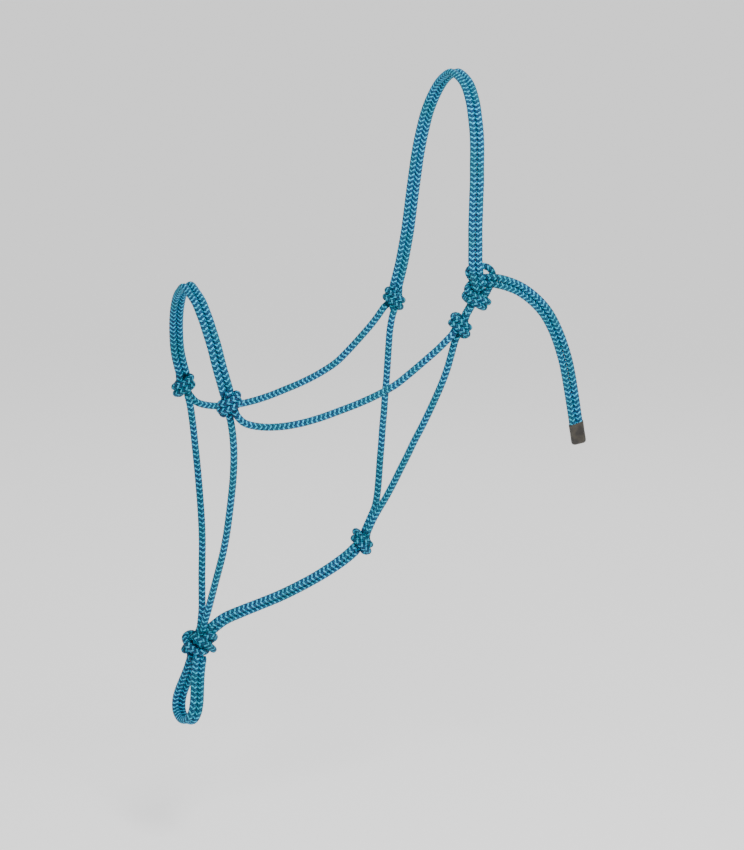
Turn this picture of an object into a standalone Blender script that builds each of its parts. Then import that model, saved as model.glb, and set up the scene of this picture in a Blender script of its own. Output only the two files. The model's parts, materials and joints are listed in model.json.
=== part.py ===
"""Rope halter for a horse: one braided cord knotted into a headstall, with its tail in a sleeve.

The frame is that of the worn halter. +Z is up, -Y is the nose and +X is the horse's left side,
where the crown is tied. The origin lies under the crown, where it rests on the poll.
Routes are lists of points in millimetres, and everything that is built is in metres.
"""

import math

import bpy
import numpy as np

MM = 0.001

# Driving dimensions, in metres.
ROPE_DIAMETER = 6.3 * MM
PAIR_SPACING = 6.7 * MM  # centre to centre, where two strands lie side by side
KNOT_GAP = 0.5 * MM  # between a strand's cut end and the knot that it runs into
TAIL_GAP = 3.0 * MM  # the same where the tail swings, just outside the hitch
LONG_STEP = 15.0 * MM  # distance between a strand's rings on its gentle runs
ARCH_STEP = 10.0 * MM  # the same on the crown and the noseband
LOOP_STEP = 5.0 * MM  # the same on the lead loop
ROPE_SIDES = 2  # bevel resolution, which gives eight sides

SLEEVE_WIDTH = 13.6 * MM
SLEEVE_DEPTH = 7.4 * MM
SLEEVE_LENGTH = 21.0 * MM
SLEEVE_ROUNDING = 1.2 * MM

# Centres and half sizes of the knots, in millimetres. Left is +X.
NOSE_KNOTS = {"left": (55.0, -252.0, -284.5), "right": (-55.0, -254.5, -284.5)}
CHEEK_KNOTS = {"left": (74.5, -30.5, -224.5), "right": (-74.5, -27.0, -217.5)}
THROAT_KNOT = (0.0, -96.0, -438.5)
CHIN_KNOT = (0.0, -262.5, -519.5)
CROWN_HITCH = (75.5, -12.5, -195.5)
TAIL_PIVOT = (81.0, 2.0, -185.0)
SIDE_KNOT_SIZE = (12.5, 12.0, 12.0)
THROAT_KNOT_SIZE = (10.5, 10.5, 10.5)
CHIN_KNOT_SIZE = (16.0, 14.5, 14.5)
CROWN_HITCH_SIZE = (12.0, 11.0, 15.5)

# The crown, from its top down one side: x, y, z. The other side mirrors it, down to its knot.
CROWN_HALF = (
    (15.5, 0.0, -0.6),
    (29.0, -0.5, -8.5),
    (41.5, -2.0, -22.0),
    (50.0, -3.8, -36.5),
    (55.8, -5.0, -51.0),
    (59.8, -6.5, -65.5),
    (62.5, -8.0, -80.0),
    (64.7, -9.0, -94.0),
    (66.4, -10.4, -109.0),
    (68.0, -11.6, -123.5),
    (69.6, -12.8, -138.0),
)
CROWN_TOP = (0.0, 0.0, 3.5)
CROWN_LEFT_END = ((71.5, -13.6, -152.5), (73.5, -14.5, -167.0), (75.5, -14.0, -182.0))
CROWN_RIGHT_END = (
    (-70.5, -14.5, -152.5),
    (-71.8, -16.8, -168.0),
    (-73.2, -20.0, -186.0),
    (-74.5, -26.0, -210.0),
)

# The noseband's arch, from its top down one side.
NOSEBAND_TOP = (0.0, -270.0, -184.0)
NOSEBAND_HALF = (
    (14.0, -269.3, -189.5),
    (24.5, -268.3, -196.0),
    (31.5, -267.5, -203.5),
    (37.5, -266.5, -211.5),
    (42.0, -265.5, -219.5),
    (46.0, -264.3, -227.5),
    (49.3, -263.0, -236.0),
    (51.8, -261.7, -245.0),
    (53.7, -260.0, -254.0),
    (54.8, -257.5, -264.0),
    (55.0, -254.5, -275.0),
)

# The single ropes of one side, from their upper or front knot on. Their x is mirrored on the right.
CHEEK_ROPE = (
    (58.5, -248.0, -294.0),
    (59.0, -239.0, -303.0),
    (60.2, -223.0, -307.5),
    (61.0, -204.0, -308.5),
    (61.7, -185.0, -306.8),
    (62.3, -166.5, -303.2),
    (63.0, -148.0, -298.2),
    (63.8, -129.0, -292.6),
    (65.0, -111.0, -286.0),
    (66.7, -94.0, -278.0),
    (68.8, -80.0, -268.0),
    (71.2, -66.0, -256.8),
    (74.0, -52.0, -245.0),
    (76.8, -40.0, -233.0),
)
THROAT_ROPE = (
    (71.0, -30.5, -233.0),
    (70.3, -33.5, -240.0),
    (68.5, -36.5, -253.0),
    (65.0, -39.0, -267.0),
    (60.2, -42.0, -281.0),
    (54.5, -45.5, -295.0),
    (48.5, -49.5, -309.5),
    (42.0, -53.6, -324.0),
    (35.5, -58.0, -338.0),
    (29.3, -62.0, -352.3),
    (23.0, -66.3, -366.5),
    (16.5, -70.5, -381.0),
    (9.8, -75.2, -395.5),
    (5.0, -80.0, -407.0),
    (3.4, -86.0, -418.0),
    (3.4, -92.0, -430.0),
)
CHIN_DROP = (
    (51.5, -251.5, -295.0),
    (51.6, -249.5, -303.0),
    (51.5, -247.8, -315.0),
    (50.6, -246.6, -328.5),
    (48.6, -246.0, -342.5),
    (45.6, -245.7, -357.0),
    (42.0, -245.8, -371.5),
    (38.2, -246.1, -386.0),
    (34.4, -246.6, -400.5),
    (30.4, -247.4, -415.0),
    (26.2, -248.8, -429.8),
    (21.8, -250.8, -444.0),
    (17.2, -253.0, -458.5),
    (12.4, -255.0, -473.0),
    (7.6, -257.0, -487.5),
    (4.4, -259.5, -500.0),
    (3.4, -261.5, -512.0),
)

# Pairs of strands that run from knot to knot.
JAW_STRAP = (
    (0.0, -99.5, -441.0),
    (0.0, -106.0, -447.8),
    (0.0, -120.0, -457.0),
    (0.0, -140.0, -467.2),
    (0.0, -160.0, -475.5),
    (0.0, -180.0, -482.6),
    (0.0, -200.0, -488.3),
    (0.0, -220.0, -493.6),
    (0.0, -237.0, -498.8),
    (0.0, -250.0, -506.5),
)
TAIL = (
    (79.0, -9.0, -182.5),
    (81.0, 0.0, -184.0),
    (82.5, 12.0, -187.0),
    (83.5, 25.0, -192.2),
    (84.5, 36.0, -199.2),
    (85.0, 46.0, -207.8),
    (85.5, 54.0, -217.0),
    (86.0, 60.5, -227.5),
    (86.5, 66.0, -239.0),
    (87.0, 70.5, -251.0),
    (87.0, 74.5, -263.0),
    (87.0, 77.5, -275.0),
    (87.0, 80.0, -287.0),
    (87.0, 82.3, -299.0),
    (87.0, 84.5, -311.0),
    (87.0, 86.7, -323.0),
)

# The lead loop hangs in a plane that leans forward by LOOP_LEAN. Half of its outline: across, down.
LOOP_LEAN = math.radians(13.0)
LOOP_HALF = (
    (7.0, 9.0),
    (8.3, 20.0),
    (11.6, 31.0),
    (16.4, 42.0),
    (20.4, 52.0),
    (20.8, 61.5),
    (14.8, 70.0),
)
LOOP_BOTTOM = (0.0, 74.0)

# The tie loop stands up out of the left cheek knot into the crown's hitch.
TIE_LOOP_LEG = ((74.5, -27.0, -219.0), (75.0, -21.5, -210.0), (75.5, -16.5, -202.0))
TIE_LOOP_SPREAD = (0.8, 0.5, -0.33)  # the direction from the front leg to the rear leg

CORD_BLUE = (0.03, 0.27, 0.42)
SLEEVE_BROWN = (0.055, 0.05, 0.045)


def metres(point):
    return np.array(point, float) * MM


def mirrored(route):
    return [(-x, y, z) for x, y, z in route]


def smooth(route, samples=24):
    """A Catmull-Rom curve through a route's points, finely sampled, in metres."""
    points = np.array([metres(p) for p in route])
    points = np.vstack([2 * points[0] - points[1], points, 2 * points[-1] - points[-2]])
    curve = []
    for i in range(1, len(points) - 2):
        a, b, c, d = points[i - 1 : i + 3]
        for t in np.arange(samples) / samples:
            curve.append(
                0.5 * (2 * b + (c - a) * t + (2 * a - 5 * b + 4 * c - d) * t**2
                       + (3 * b - a - 3 * c + d) * t**3)
            )
    curve.append(points[-2])
    return np.array(curve)


def tangents(curve):
    along = np.gradient(curve, axis=0)
    return along / np.linalg.norm(along, axis=1)[:, None]


def lengths(curve):
    steps = np.linalg.norm(np.diff(curve, axis=0), axis=1)
    return np.concatenate([[0.0], np.cumsum(steps)])


def square_to(direction, along):
    """The unit vectors nearest to a direction that stand square to a curve."""
    direction = np.broadcast_to(direction, along.shape)
    across = direction - (direction * along).sum(axis=1)[:, None] * along
    return across / np.linalg.norm(across, axis=1)[:, None]


def beside(curve, direction, distance):
    """A curve moved sideways, square to itself, towards a direction."""
    return curve + square_to(direction, tangents(curve)) * distance


def clear_of(curve, centre, half_size, from_start, gap=KNOT_GAP):
    """The curve without the stretch at one end where its tube would reach into a knot."""
    if not from_start:
        return clear_of(curve[::-1], centre, half_size, True, gap)[::-1]
    along = tangents(curve)
    side = square_to((0.31, 0.83, 0.46), along)
    other = np.cross(along, side)
    grown = metres(half_size) + gap
    reach = np.full(len(curve), np.inf)
    for turn in np.linspace(0, 2 * math.pi, 16, endpoint=False):
        rim = curve + (side * math.cos(turn) + other * math.sin(turn)) * ROPE_DIAMETER / 2
        reach = np.minimum(reach, np.linalg.norm((rim - metres(centre)) / grown, axis=1))
    return curve[np.argmax(reach >= 1) :]


def material(name, colour, roughness):
    made = bpy.data.materials.new(name)
    made.use_nodes = True
    shader = made.node_tree.nodes["Principled BSDF"]
    shader.inputs["Base Color"].default_value = (*colour, 1.0)
    shader.inputs["Roughness"].default_value = roughness
    shader.inputs["Metallic"].default_value = 0.0
    return made


def strand(name, curve, step, parent):
    """One run of cord: a capped tube along a curve, with a ring at about every step."""
    along = lengths(curve)
    at = np.linspace(0, along[-1], max(2, round(along[-1] / step) + 1))
    points = np.stack([np.interp(at, along, curve[:, k]) for k in range(3)], axis=1)
    data = bpy.data.curves.new(name, "CURVE")
    data.dimensions = "3D"
    data.bevel_depth = ROPE_DIAMETER / 2
    data.bevel_resolution = ROPE_SIDES
    data.use_fill_caps = True
    spline = data.splines.new("POLY")
    spline.points.add(len(points) - 1)
    for control, point in zip(spline.points, points):
        control.co = (*point, 1.0)
    data.materials.append(material(name, CORD_BLUE, 0.6))
    return placed(bpy.data.objects.new(name, data), parent)


def placed(thing, parent):
    """Links an object, and hangs it on a pivot without moving it."""
    bpy.context.scene.collection.objects.link(thing)
    if parent is not None:
        bpy.context.view_layer.update()
        thing.parent = parent
        thing.matrix_parent_inverse = parent.matrix_world.inverted()
    return thing


def pivot(name, centre, parent):
    """An empty on a joint's axis, which carries the pieces that turn there."""
    empty = bpy.data.objects.new(name, None)
    empty.location = metres(centre)
    empty.empty_display_size = 0.02
    return placed(empty, parent)


def knot(name, centre, half_size, wraps, parent, rings=12, sides=20):
    """A tightened knot: an ellipsoid with shallow furrows between its wraps of cord."""
    vertices = [(0.0, 0.0, 1.0)]
    for i in range(1, rings):
        polar = math.pi * i / rings
        for k in range(sides):
            turn = 2 * math.pi * k / sides
            furrow = 0.06 * math.sin(polar) * (1 + math.cos(wraps * turn + 3 * polar))
            radius = 1.0 - furrow
            vertices.append(
                (
                    radius * math.sin(polar) * math.cos(turn),
                    radius * math.sin(polar) * math.sin(turn),
                    radius * math.cos(polar),
                )
            )
    vertices.append((0.0, 0.0, -1.0))
    last = len(vertices) - 1
    faces = []
    for k in range(sides):
        after = (k + 1) % sides
        faces.append((0, 1 + k, 1 + after))
        for i in range(rings - 2):
            upper, lower = 1 + i * sides, 1 + (i + 1) * sides
            faces.append((upper + k, lower + k, lower + after, upper + after))
        foot = 1 + (rings - 2) * sides
        faces.append((last, foot + after, foot + k))
    sized = [tuple(metres(half_size) * v) for v in vertices]
    mesh = bpy.data.meshes.new(name)
    mesh.from_pydata(sized, [], faces)
    mesh.shade_smooth()
    mesh.materials.append(material(name, CORD_BLUE, 0.65))
    thing = bpy.data.objects.new(name, mesh)
    thing.location = metres(centre)
    return placed(thing, parent)


def pair(names, curve, direction, ends, step, parent, spacing=PAIR_SPACING):
    """Two strands side by side, the second one towards a direction, each end clear of its knot.

    An end is a knot's centre, its half size, whether it is at the curve's start, and maybe a gap.
    """
    for name, side in zip(names, (-0.5, 0.5)):
        run = beside(curve, direction, side * spacing)
        for end in ends:
            run = clear_of(run, *end)
        strand(name, run, step, parent)


def twisting(curve, flat, other, degrees):
    """Directions that turn from one vector towards another, by angles spread evenly over a curve."""
    share = lengths(curve) / lengths(curve)[-1]
    turn = np.radians(np.interp(share, np.linspace(0, 1, len(degrees)), degrees))[:, None]
    along = tangents(curve)
    return square_to(flat, along) * np.cos(turn) + square_to(other, along) * np.sin(turn)


def crown():
    right = [*reversed(mirrored(CROWN_HALF))]
    route = [*reversed(CROWN_RIGHT_END), *right, CROWN_TOP, *CROWN_HALF, *CROWN_LEFT_END]
    curve = smooth(route)
    ends = (
        (CHEEK_KNOTS["right"], SIDE_KNOT_SIZE, True),
        (CROWN_HITCH, CROWN_HITCH_SIZE, False),
    )
    across = twisting(curve, (0.0, 1.0, 0.0), (1.0, 0.0, 0.0), (4, 4, 0, 18, 18))
    names = ("crown_front_strand", "crown_rear_strand")
    pair(names, curve, across, ends, ARCH_STEP, None)


def tie_loop():
    """The two legs of the loop that the crown is tied to."""
    curve = smooth(TIE_LOOP_LEG)
    ends = (
        (CHEEK_KNOTS["left"], SIDE_KNOT_SIZE, True),
        (CROWN_HITCH, CROWN_HITCH_SIZE, False),
    )
    names = ("tie_loop_front_leg", "tie_loop_rear_leg")
    pair(names, curve, TIE_LOOP_SPREAD, ends, 4 * MM, None)


def noseband(parent):
    route = [*reversed(mirrored(NOSEBAND_HALF)), NOSEBAND_TOP, *NOSEBAND_HALF]
    curve = smooth(route)
    ends = (
        (NOSE_KNOTS["right"], SIDE_KNOT_SIZE, True),
        (NOSE_KNOTS["left"], SIDE_KNOT_SIZE, False),
    )
    names = ("noseband_front_strand", "noseband_rear_strand")
    pair(names, curve, (0.0, 0.98, 0.2), ends, ARCH_STEP, parent, 6.9 * MM)


def single(name, route, ends, parent):
    curve = smooth(route)
    for end in ends:
        curve = clear_of(curve, *end)
    strand(name, curve, LONG_STEP, parent)


def to_right(route, from_end):
    """A left side route mirrored, with the end at the cheek knot moved to the right one's place."""
    left, right = CHEEK_KNOTS["left"], CHEEK_KNOTS["right"]
    shift = np.array((0.0, right[1] - left[1], right[2] - left[2]))
    share = np.linspace(0, 1, len(route))[:, None]
    if not from_end:
        share = 1 - share
    return np.array(mirrored(route)) + shift * share**3


def single_ropes(headstall, throat, chin):
    routes = {
        "left": (CHEEK_ROPE, THROAT_ROPE, CHIN_DROP),
        "right": (to_right(CHEEK_ROPE, True), to_right(THROAT_ROPE, False), mirrored(CHIN_DROP)),
    }
    for side, (cheek, throat_rope, drop) in routes.items():
        nose_end = (NOSE_KNOTS[side], SIDE_KNOT_SIZE, True)
        cheek_end = (CHEEK_KNOTS[side], SIDE_KNOT_SIZE)
        single(f"cheek_rope_{side}", cheek, (nose_end, (*cheek_end, False)), headstall)
        lower = (THROAT_KNOT, THROAT_KNOT_SIZE, False)
        single(f"throat_rope_{side}", throat_rope, ((*cheek_end, True), lower), throat)
        lower = (CHIN_KNOT, CHIN_KNOT_SIZE, False)
        single(f"chin_drop_{side}", drop, (nose_end, lower), chin)


def jaw_strap(parent):
    curve = smooth(JAW_STRAP)
    ends = (
        (THROAT_KNOT, THROAT_KNOT_SIZE, True),
        (CHIN_KNOT, CHIN_KNOT_SIZE, False),
    )
    across = twisting(curve, (0.0, 0.36, -0.93), (-1.0, 0.0, 0.0), (15, 30, 30, 18))
    names = ("jaw_upper_strand", "jaw_lower_strand")
    pair(names, curve, across, ends, LONG_STEP, parent)


def lead_loop(parent):
    outline = [*LOOP_HALF, LOOP_BOTTOM, *((-x, down) for x, down in reversed(LOOP_HALF))]
    lean_y, lean_z = -math.sin(LOOP_LEAN), -math.cos(LOOP_LEAN)
    route = [
        (x, CHIN_KNOT[1] + down * lean_y, CHIN_KNOT[2] + down * lean_z) for x, down in outline
    ]
    curve = smooth(route, 12)
    ends = ((CHIN_KNOT, CHIN_KNOT_SIZE, True), (CHIN_KNOT, CHIN_KNOT_SIZE, False))
    names = ("lead_loop_front_strand", "lead_loop_rear_strand")
    pair(names, curve, (0.0, -lean_z, lean_y), ends, LOOP_STEP, parent)


def tail(parent):
    """The crown's two free ends, which leave the hitch towards the rear and end in a sleeve."""
    curve = smooth(TAIL)
    across = twisting(curve, (0.0, -0.4, -0.9), (-1.0, 0.0, 0.0), (0, 25, 40, 25, 8))
    ends = ((CROWN_HITCH, CROWN_HITCH_SIZE, True, TAIL_GAP),)
    pair(("tail_upper_strand", "tail_lower_strand"), curve, across, ends, 12 * MM, parent)
    sleeve(curve[-1], tangents(curve)[-1], across[-1], parent)


def sleeve(end, along, across, parent):
    """A closed cap, a rounded flat bar in section, that starts just past the strands' ends."""
    flat = SLEEVE_WIDTH / 2 - SLEEVE_DEPTH / 2
    outline = []
    for centre, start in ((flat, -90), (-flat, 90)):
        for turn in range(start, start + 181, 30):
            angle = math.radians(turn)
            outline.append((centre, math.cos(angle), math.sin(angle)))
    deep = np.cross(along, across)
    sections = (
        (KNOT_GAP, 0.0),
        (SLEEVE_LENGTH - SLEEVE_ROUNDING, 0.0),
        (SLEEVE_LENGTH - 0.3 * SLEEVE_ROUNDING, 0.3 * SLEEVE_ROUNDING),
        (SLEEVE_LENGTH, SLEEVE_ROUNDING),
    )
    vertices = []
    for distance, inset in sections:
        radius = SLEEVE_DEPTH / 2 - inset
        for centre, cosine, sine in outline:
            wide = centre + radius * cosine
            vertices.append(end + along * distance + across * wide + deep * (radius * sine))
    count = len(outline)
    faces = [tuple(reversed(range(count)))]
    for level in range(len(sections) - 1):
        for k in range(count):
            after = (k + 1) % count
            low, high = level * count, (level + 1) * count
            faces.append((low + k, low + after, high + after, high + k))
    top = (len(sections) - 1) * count
    faces.append(tuple(range(top, top + count)))
    mesh = bpy.data.meshes.new("tail_end_sleeve")
    mesh.from_pydata([tuple(v) for v in vertices], [], faces)
    mesh.shade_smooth()
    mesh.set_sharp_from_angle(angle=math.radians(50))
    mesh.materials.append(material("tail_end_sleeve", SLEEVE_BROWN, 0.4))
    placed(bpy.data.objects.new("tail_end_sleeve", mesh), parent)


def build():
    for thing in list(bpy.data.objects):
        bpy.data.objects.remove(thing)
    cheek_axis = (np.array(CHEEK_KNOTS["left"]) + CHEEK_KNOTS["right"]) / 2
    nose_axis = (np.array(NOSE_KNOTS["left"]) + NOSE_KNOTS["right"]) / 2
    headstall = pivot("headstall_pivot", cheek_axis, None)
    noseband_pivot = pivot("noseband_pivot", nose_axis, headstall)
    chin = pivot("chin_pivot", nose_axis, headstall)
    throat = pivot("throat_pivot", cheek_axis, headstall)
    jaw = pivot("jaw_pivot", THROAT_KNOT, throat)
    loop = pivot("lead_loop_pivot", CHIN_KNOT, chin)
    tail_pivot = pivot("tail_pivot", TAIL_PIVOT, None)

    crown()
    tie_loop()
    knot("crown_hitch", CROWN_HITCH, CROWN_HITCH_SIZE, 3, None)
    for side in ("left", "right"):
        knot(f"cheek_knot_{side}", CHEEK_KNOTS[side], SIDE_KNOT_SIZE, 4, headstall)
        knot(f"nose_knot_{side}", NOSE_KNOTS[side], SIDE_KNOT_SIZE, 4, headstall)
    noseband(noseband_pivot)
    single_ropes(headstall, throat, chin)
    knot("throat_knot", THROAT_KNOT, THROAT_KNOT_SIZE, 4, throat)
    knot("chin_knot", CHIN_KNOT, CHIN_KNOT_SIZE, 5, chin)
    jaw_strap(jaw)
    lead_loop(loop)
    tail(tail_pivot)


build()
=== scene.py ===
"""The looks of the rope halter: one braided cord, followed through its runs and knots.

The frame is the part's own. +Z is up, -Y is the nose and +X is the horse's left side.
Routes are in millimetres, as in the part, and meshes are in metres.
"""

import json
import math

import bpy
import numpy as np
from mathutils import Matrix, Vector


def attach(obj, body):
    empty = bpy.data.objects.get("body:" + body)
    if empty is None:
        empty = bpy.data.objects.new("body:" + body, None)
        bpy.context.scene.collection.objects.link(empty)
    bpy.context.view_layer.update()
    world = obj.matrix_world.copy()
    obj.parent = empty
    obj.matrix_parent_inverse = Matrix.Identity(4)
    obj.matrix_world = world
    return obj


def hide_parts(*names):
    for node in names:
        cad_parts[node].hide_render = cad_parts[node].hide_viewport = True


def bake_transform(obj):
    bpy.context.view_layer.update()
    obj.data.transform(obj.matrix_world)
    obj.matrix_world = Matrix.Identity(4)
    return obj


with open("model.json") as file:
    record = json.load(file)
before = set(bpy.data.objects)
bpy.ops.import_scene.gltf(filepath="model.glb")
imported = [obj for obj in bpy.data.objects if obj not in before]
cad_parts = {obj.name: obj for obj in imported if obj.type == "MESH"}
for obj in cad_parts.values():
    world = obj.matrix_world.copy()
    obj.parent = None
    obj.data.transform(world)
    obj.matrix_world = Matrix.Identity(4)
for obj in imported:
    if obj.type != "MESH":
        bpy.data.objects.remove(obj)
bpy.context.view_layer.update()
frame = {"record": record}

MM = 0.001

# ---------------------------------------------------------------- camera, at the photograph's angle
CAMERA_PLACE = (2.07159, -1.05138, 0.09707)
CAMERA_BACK = (0.89113, -0.41554, 0.18224)
CAMERA_RIGHT = (0.42262, 0.90631, 0.0)
CAMERA_LENS = 103.85  # mm
SENSOR_WIDTH = 36.0  # mm


def camera():
    data = bpy.data.cameras.new("camera")
    data.lens = CAMERA_LENS
    data.sensor_width = SENSOR_WIDTH
    data.sensor_fit = "AUTO"
    data.clip_start = 0.05
    data.clip_end = 3000.0
    thing = bpy.data.objects.new("camera", data)
    bpy.context.scene.collection.objects.link(thing)
    back, right = Vector(CAMERA_BACK).normalized(), Vector(CAMERA_RIGHT).normalized()
    turn = Matrix((right, back.cross(right), back)).transposed().to_4x4()
    thing.matrix_world = Matrix.Translation(CAMERA_PLACE) @ turn
    bpy.context.scene.camera = thing


camera()

# ---------------------------------------------------------------- the cord's routes, as in the part
CORD_RADIUS = 3.15
PAIR_SPACING = 6.7  # centre to centre of two strands side by side
NOSEBAND_SPACING = 6.9
NOSE_KNOTS = {"left": (55.0, -252.0, -284.5), "right": (-55.0, -254.5, -284.5)}
CHEEK_KNOTS = {"left": (74.5, -30.5, -224.5), "right": (-74.5, -27.0, -217.5)}
THROAT_KNOT = (0.0, -96.0, -438.5)
CHIN_KNOT = (0.0, -262.5, -519.5)
CROWN_HITCH = (75.5, -12.5, -195.5)
SIDE_KNOT_SIZE = (12.5, 12.0, 12.0)
THROAT_KNOT_SIZE = (10.5, 10.5, 10.5)
CHIN_KNOT_SIZE = (16.0, 14.5, 14.5)
CROWN_HITCH_SIZE = (12.0, 11.0, 15.5)

CROWN_HALF = (
    (15.5, 0.0, -0.6),
    (29.0, -0.5, -8.5),
    (41.5, -2.0, -22.0),
    (50.0, -3.8, -36.5),
    (55.8, -5.0, -51.0),
    (59.8, -6.5, -65.5),
    (62.5, -8.0, -80.0),
    (64.7, -9.0, -94.0),
    (66.4, -10.4, -109.0),
    (68.0, -11.6, -123.5),
    (69.6, -12.8, -138.0),
)
CROWN_TOP = (0.0, 0.0, 3.5)
CROWN_LEFT_END = ((71.5, -13.6, -152.5), (73.5, -14.5, -167.0), (75.5, -14.0, -182.0))
CROWN_RIGHT_END = (
    (-70.5, -14.5, -152.5),
    (-71.8, -16.8, -168.0),
    (-73.2, -20.0, -186.0),
    (-74.5, -26.0, -210.0),
)
NOSEBAND_TOP = (0.0, -270.0, -184.0)
NOSEBAND_HALF = (
    (14.0, -269.3, -189.5),
    (24.5, -268.3, -196.0),
    (31.5, -267.5, -203.5),
    (37.5, -266.5, -211.5),
    (42.0, -265.5, -219.5),
    (46.0, -264.3, -227.5),
    (49.3, -263.0, -236.0),
    (51.8, -261.7, -245.0),
    (53.7, -260.0, -254.0),
    (54.8, -257.5, -264.0),
    (55.0, -254.5, -275.0),
)
CHEEK_ROPE = (
    (58.5, -248.0, -294.0),
    (59.0, -239.0, -303.0),
    (60.2, -223.0, -307.5),
    (61.0, -204.0, -308.5),
    (61.7, -185.0, -306.8),
    (62.3, -166.5, -303.2),
    (63.0, -148.0, -298.2),
    (63.8, -129.0, -292.6),
    (65.0, -111.0, -286.0),
    (66.7, -94.0, -278.0),
    (68.8, -80.0, -268.0),
    (71.2, -66.0, -256.8),
    (74.0, -52.0, -245.0),
    (76.8, -40.0, -233.0),
)
THROAT_ROPE = (
    (71.0, -30.5, -233.0),
    (70.3, -33.5, -240.0),
    (68.5, -36.5, -253.0),
    (65.0, -39.0, -267.0),
    (60.2, -42.0, -281.0),
    (54.5, -45.5, -295.0),
    (48.5, -49.5, -309.5),
    (42.0, -53.6, -324.0),
    (35.5, -58.0, -338.0),
    (29.3, -62.0, -352.3),
    (23.0, -66.3, -366.5),
    (16.5, -70.5, -381.0),
    (9.8, -75.2, -395.5),
    (5.0, -80.0, -407.0),
    (3.4, -86.0, -418.0),
    (3.4, -92.0, -430.0),
)
CHIN_DROP = (
    (51.5, -251.5, -295.0),
    (51.6, -249.5, -303.0),
    (51.5, -247.8, -315.0),
    (50.6, -246.6, -328.5),
    (48.6, -246.0, -342.5),
    (45.6, -245.7, -357.0),
    (42.0, -245.8, -371.5),
    (38.2, -246.1, -386.0),
    (34.4, -246.6, -400.5),
    (30.4, -247.4, -415.0),
    (26.2, -248.8, -429.8),
    (21.8, -250.8, -444.0),
    (17.2, -253.0, -458.5),
    (12.4, -255.0, -473.0),
    (7.6, -257.0, -487.5),
    (4.4, -259.5, -500.0),
    (3.4, -261.5, -512.0),
)
JAW_STRAP = (
    (0.0, -99.5, -441.0),
    (0.0, -106.0, -447.8),
    (0.0, -120.0, -457.0),
    (0.0, -140.0, -467.2),
    (0.0, -160.0, -475.5),
    (0.0, -180.0, -482.6),
    (0.0, -200.0, -488.3),
    (0.0, -220.0, -493.6),
    (0.0, -237.0, -498.8),
    (0.0, -250.0, -506.5),
)
TAIL = (
    (79.0, -9.0, -182.5),
    (81.0, 0.0, -184.0),
    (82.5, 12.0, -187.0),
    (83.5, 25.0, -192.2),
    (84.5, 36.0, -199.2),
    (85.0, 46.0, -207.8),
    (85.5, 54.0, -217.0),
    (86.0, 60.5, -227.5),
    (86.5, 66.0, -239.0),
    (87.0, 70.5, -251.0),
    (87.0, 74.5, -263.0),
    (87.0, 77.5, -275.0),
    (87.0, 80.0, -287.0),
    (87.0, 82.3, -299.0),
    (87.0, 84.5, -311.0),
    (87.0, 86.7, -323.0),
)
LOOP_LEAN = math.radians(13.0)
LOOP_HALF = (  # across, and down from the chin knot
    (7.0, 9.0),
    (8.3, 20.0),
    (11.6, 31.0),
    (16.4, 42.0),
    (20.4, 52.0),
    (20.8, 61.5),
    (14.8, 70.0),
)
LOOP_BOTTOM = (0.0, 74.0)
TIE_LOOP_LEG = ((74.5, -27.0, -219.0), (75.0, -21.5, -210.0), (75.5, -16.5, -202.0))
TIE_LOOP_SPREAD = (0.88, -0.3, 0.0)


def mirrored(route):
    return [(-x, y, z) for x, y, z in route]


def smooth(route, samples=24):
    """A Catmull-Rom curve through a route's points, finely sampled."""
    points = np.array(route, float)
    points = np.vstack([2 * points[0] - points[1], points, 2 * points[-1] - points[-2]])
    t = (np.arange(samples) / samples)[:, None]
    curve = []
    for i in range(1, len(points) - 2):
        a, b, c, d = points[i - 1 : i + 3]
        curve.append(
            0.5 * (2 * b + (c - a) * t + (2 * a - 5 * b + 4 * c - d) * t**2
                   + (3 * b - a - 3 * c + d) * t**3)
        )
    curve.append(points[-2:-1])
    return np.vstack(curve)


def tangents(curve):
    along = np.gradient(curve, axis=0)
    return along / np.linalg.norm(along, axis=1)[:, None]


def lengths(curve):
    steps = np.linalg.norm(np.diff(curve, axis=0), axis=1)
    return np.concatenate([[0.0], np.cumsum(steps)])


def square_to(direction, along):
    """The unit vectors nearest to a direction that stand square to a curve."""
    direction = np.broadcast_to(direction, along.shape)
    across = direction - (direction * along).sum(axis=1)[:, None] * along
    return across / np.linalg.norm(across, axis=1)[:, None]


def beside(curve, direction, distance):
    return curve + square_to(direction, tangents(curve)) * distance


def twisting(curve, flat, other, degrees):
    """Directions that turn from one vector towards another, by angles spread over a curve."""
    share = lengths(curve) / lengths(curve)[-1]
    turn = np.radians(np.interp(share, np.linspace(0, 1, len(degrees)), degrees))[:, None]
    along = tangents(curve)
    return square_to(flat, along) * np.cos(turn) + square_to(other, along) * np.sin(turn)


def resampled(curve, step):
    """The curve with points evenly spaced at about a step."""
    along = lengths(curve)
    at = np.linspace(0, along[-1], max(3, round(along[-1] / step) + 1))
    return np.stack([np.interp(at, along, curve[:, k]) for k in range(3)], axis=1)


def outside(curve, centre, half_size, from_start, scale=1.0):
    """The curve without the stretch at one end that lies inside a knot's ellipsoid."""
    if not from_start:
        return outside(curve[::-1], centre, half_size, True, scale)[::-1]
    reach = np.linalg.norm((curve - np.array(centre)) / (np.array(half_size) * scale), axis=1)
    return curve[np.argmax(reach >= 1) :]


def to_right(route, from_end):
    """A left side route mirrored, with its end at the cheek knot moved to the right one's place."""
    left, right = CHEEK_KNOTS["left"], CHEEK_KNOTS["right"]
    shift = np.array((0.0, right[1] - left[1], right[2] - left[2]))
    share = np.linspace(0, 1, len(route))[:, None]
    if not from_end:
        share = 1 - share
    return np.array(mirrored(route)) + shift * share**3


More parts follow.
